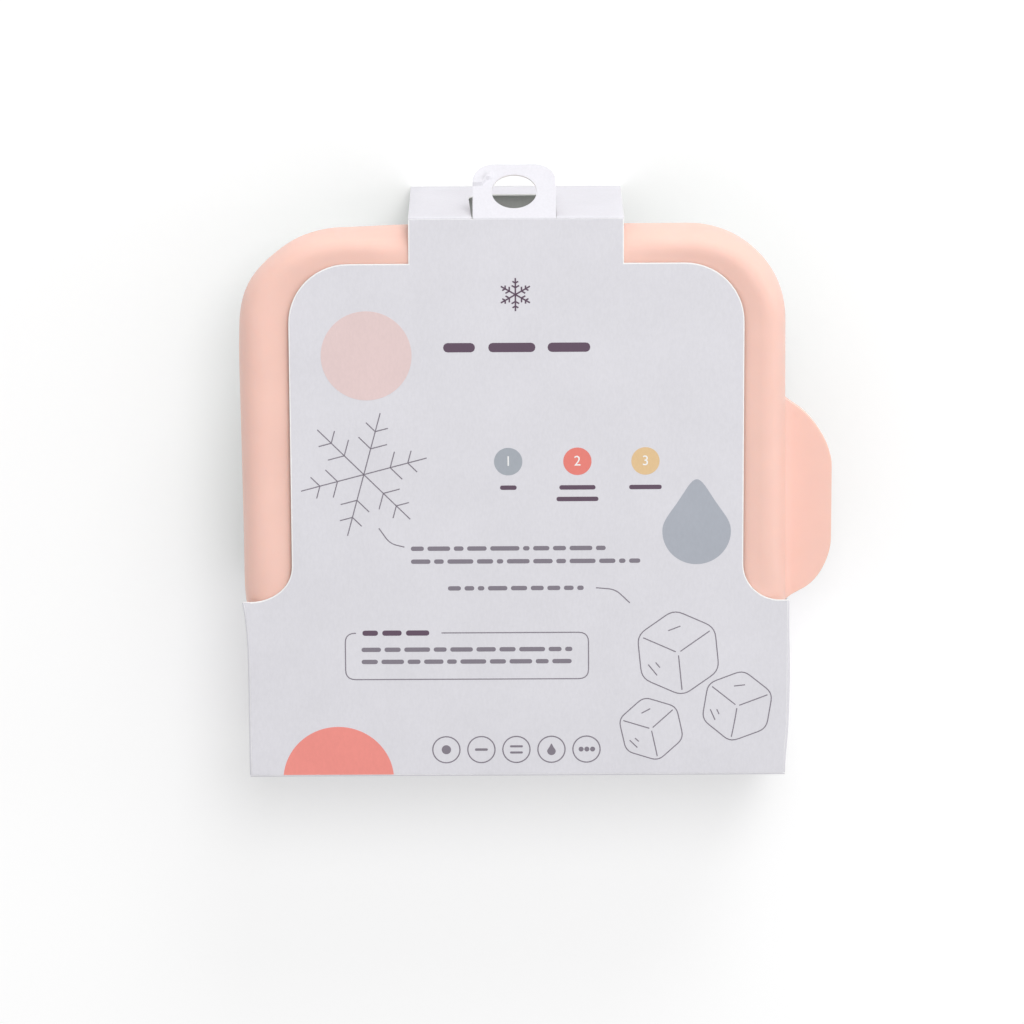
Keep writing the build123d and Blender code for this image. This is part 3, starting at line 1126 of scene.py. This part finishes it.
def printFront():
    art, pen = frontPrint, frontPrint["pen"]
    layInk("printBlush", [disc(*art["blush"])], "blush")
    layInk("printSage", [disc(*art["sage"])], "sage")
    layInk("printCoral", [clipAtFoot(disc(*art["coral"]))], "coralWash")
    layInk("printCrest", [strokes(crystal(*art["crest"]), pen["crest"])], "plum")
    layInk("printTitle", [bar(left, right, *art["titleRow"]) for left, right in art["titleBars"]], "plum")
    captions = []
    for text, x, ink, rows in art["dots"]:
        layInk("printDot" + text, [disc(x, art["dotRow"], art["dotRadius"])], ink)
        layInk("printNumber" + text, [numeral(text, x, art["dotRow"], art["numberSize"])], "white", inkLift)
        captions += [bar(x - width / 2, x + width / 2, y, art["captionHeight"]) for width, y in rows]
    layInk("printCaptions", captions, "plum")
    layInk("printNotes", [piece for row in art["notes"] for piece in barRow(*row)], "grey")
    layInk("printHeading", barRow(*art["heading"]), "plum")
    frameLine = roundedChain(art["frame"], art["frameRound"], closed=False)
    layInk("printFrame", [strokes([frameLine], pen["frame"])], "grey")
    sketch = [chain for cube in art["cubes"] for chain in iceCube(*cube)]
    sketch += [roundedChain(hook, art["hookRound"], closed=False) for hook in art["hooks"]]
    sketch += crystal(*art["crystal"])
    layInk("printSketch", [strokes(sketch, pen["sketch"])], "grey")
    turns = [2 * pi * i / art["ringSteps"] for i in range(art["ringSteps"] + 1)]
    radius, row = art["ringRadius"], art["ringRow"]
    rings = [[(x + radius * cos(a), row + radius * sin(a)) for a in turns] for x in art["ringPlaces"]]
    layInk("printRings", [strokes(rings, pen["ring"])], "grey")
    layInk("printMarks", ringMarks(art["ringPlaces"], row), "grey")


printFront()
print("front printed")


# the camera, almost straight above

camera = dict(
    aim=(-1.62 * mm, -3.28 * mm, 47.4 * mm),
    distance=1.5,
    tilt=13.85,                # degrees from straight down, towards the hang tab
    roll=-0.28,
    lens=190.6,
    sensor=36,
    clipStart=0.01,
)
deselectAll()
bpy.ops.object.camera_add()
eye = bpy.context.object
tilt, roll = radians(camera["tilt"]), radians(camera["roll"])
eyeTurn = Matrix.Rotation(-tilt, 4, "X") @ Matrix.Rotation(roll, 4, "Z")
stepBack = Matrix.Translation((0, 0, camera["distance"]))
eye.matrix_world = Matrix.Translation(Vector(camera["aim"])) @ eyeTurn @ stepBack
eye.data.sensor_width = camera["sensor"]
eye.data.lens = camera["lens"]
eye.data.clip_start = camera["clipStart"]
bpy.context.scene.camera = eye

# floor, world and lamps
studio = dict(
    floorSize=8,
    floorGap=0.05 * mm,        # the floor lies this far below the card
    floorTint=(0.84, 0.84, 0.84),
    floorCloud=0.006,
    floorCloudScale=3,
    floorCloudStops=(0.3, 0.7),
    floorRough=0.9,
    floorGlow=0.215,           # added where the floor is seen, so that it is white where it is lit
    world=0.61,
    # lamps: where each hangs, its width in metres and its power
    key=((0.32, 0.98, 2.00), 1.2, 14.2),
    low=((0.60, 2.05, 0.72), 1.4, 18.0),
    side=((2.20, 0.30, 0.70), 0.6, 4.5),
)


def seenDirectly(nodes, links):
    # 1 for what the eye sees, also in a mirror or through glass, and 0 for light that falls on things
    path = nodes.new("ShaderNodeLightPath")
    seen = path.outputs["Is Camera Ray"]
    for ray in ("Is Glossy Ray", "Is Transmission Ray"):
        either = nodes.new("ShaderNodeMath")
        either.operation = "MAXIMUM"
        links.new(seen, either.inputs[0])
        links.new(path.outputs[ray], either.inputs[1])
        seen = either.outputs[0]
    return seen


def makeFloor():
    deselectAll()
    floorZ = cadLow.z - studio["floorGap"]
    bpy.ops.mesh.primitive_plane_add(size=studio["floorSize"], location=(0, 0, floorZ))
    floor = bpy.context.object
    floor.name = "floor"
    material, nodes, links, bsdf = startMaterial("floorPale")
    coordinates = nodes.new("ShaderNodeTexCoord")
    cloud = addNoise(nodes, links, coordinates, studio["floorCloudScale"], 2)
    tints = tintRange(studio["floorTint"], studio["floorCloud"])
    base = addRamp(nodes, links, cloud, studio["floorCloudStops"], tints)
    links.new(base, bsdf.inputs["Base Color"])
    bsdf.inputs["Roughness"].default_value = studio["floorRough"]
    bsdf.inputs["Specular IOR Level"].default_value = 0.0
    bsdf.inputs["Emission Color"].default_value = (1, 1, 1, 1)
    glow = scaleTo(nodes, links, seenDirectly(nodes, links), 0, studio["floorGlow"])
    links.new(glow, bsdf.inputs["Emission Strength"])
    dress(floor, material)


def makeWorld():
    world = bpy.data.worlds.new("studioWorld")
    bpy.context.scene.world = world
    world.use_nodes = True
    nodes, links = world.node_tree.nodes, world.node_tree.links
    background = nodes["Background"]
    background.inputs["Color"].default_value = (1, 1, 1, 1)
    strength = scaleTo(nodes, links, seenDirectly(nodes, links), studio["world"], 1.0)
    links.new(strength, background.inputs["Strength"])


def makeLamp(name):
    place, size, power = studio[name]
    deselectAll()
    bpy.ops.object.light_add(type="AREA", location=place)
    lamp = bpy.context.object
    lamp.name = name + "Lamp"
    lamp.data.shape = "DISK"
    lamp.data.size = size
    lamp.data.energy = power
    lamp.rotation_euler = Vector(place).to_track_quat("Z", "Y").to_euler()


makeFloor()
makeWorld()
for lampName in ("key", "low", "side"):
    makeLamp(lampName)
bpy.context.scene.view_settings.view_transform = "Standard"
print("studio lit")
